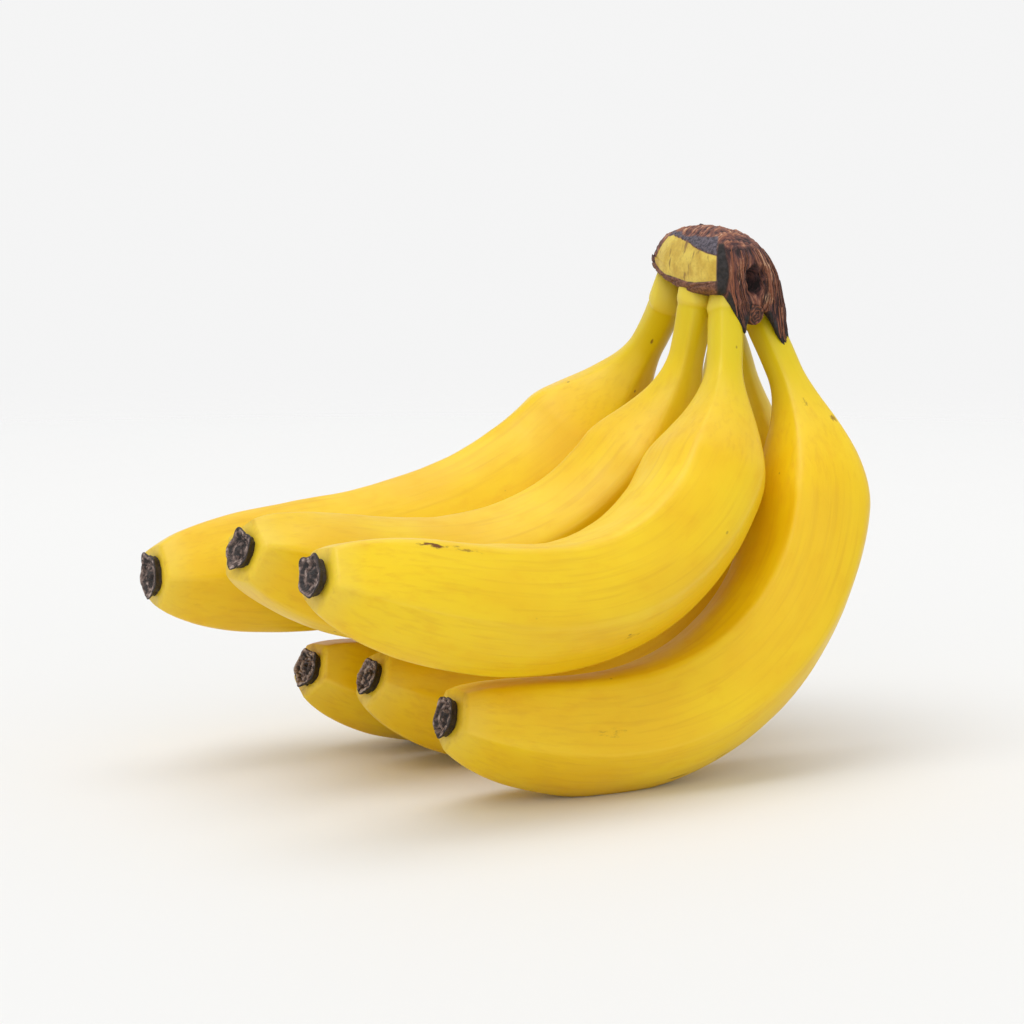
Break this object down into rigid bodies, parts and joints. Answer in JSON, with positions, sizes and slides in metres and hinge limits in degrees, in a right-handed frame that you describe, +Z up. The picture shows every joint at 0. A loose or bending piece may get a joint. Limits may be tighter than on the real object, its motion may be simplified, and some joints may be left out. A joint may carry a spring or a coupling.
{
  "type": "bunch of bananas",
  "caption": "Bunch of ripe yellow bananas in two curved rows, their necks joined under one dried brown crown; it lies on its lower row.",
  "frame": {"origin": "middle of the bunch's box, on the floor that the lower bananas rest on", "axes": "+X from the tips towards the crown, +Y across the rows from the front bananas to the back ones, +Z up"},
  "size_m": [0.2046, 0.14, 0.1509],
  "materials": {
    "peel": "waxy satin banana peel",
    "dried_crown": "dry fibrous plant tissue",
    "dried_blossom": "dry wrinkled flower remains"
  },
  "bodies": {
    "root": {"crown": "dried_crown", "upper_back_banana": "peel", "upper_middle_banana": "peel", "upper_front_banana": "peel", "lower_back_banana": "peel", "lower_middle_banana": "peel", "lower_front_banana": "peel", "upper_back_blossom_end": "dried_blossom", "upper_middle_blossom_end": "dried_blossom", "upper_front_blossom_end": "dried_blossom", "lower_back_blossom_end": "dried_blossom", "lower_middle_blossom_end": "dried_blossom", "lower_front_blossom_end": "dried_blossom"}
  },
  "joints": []
}
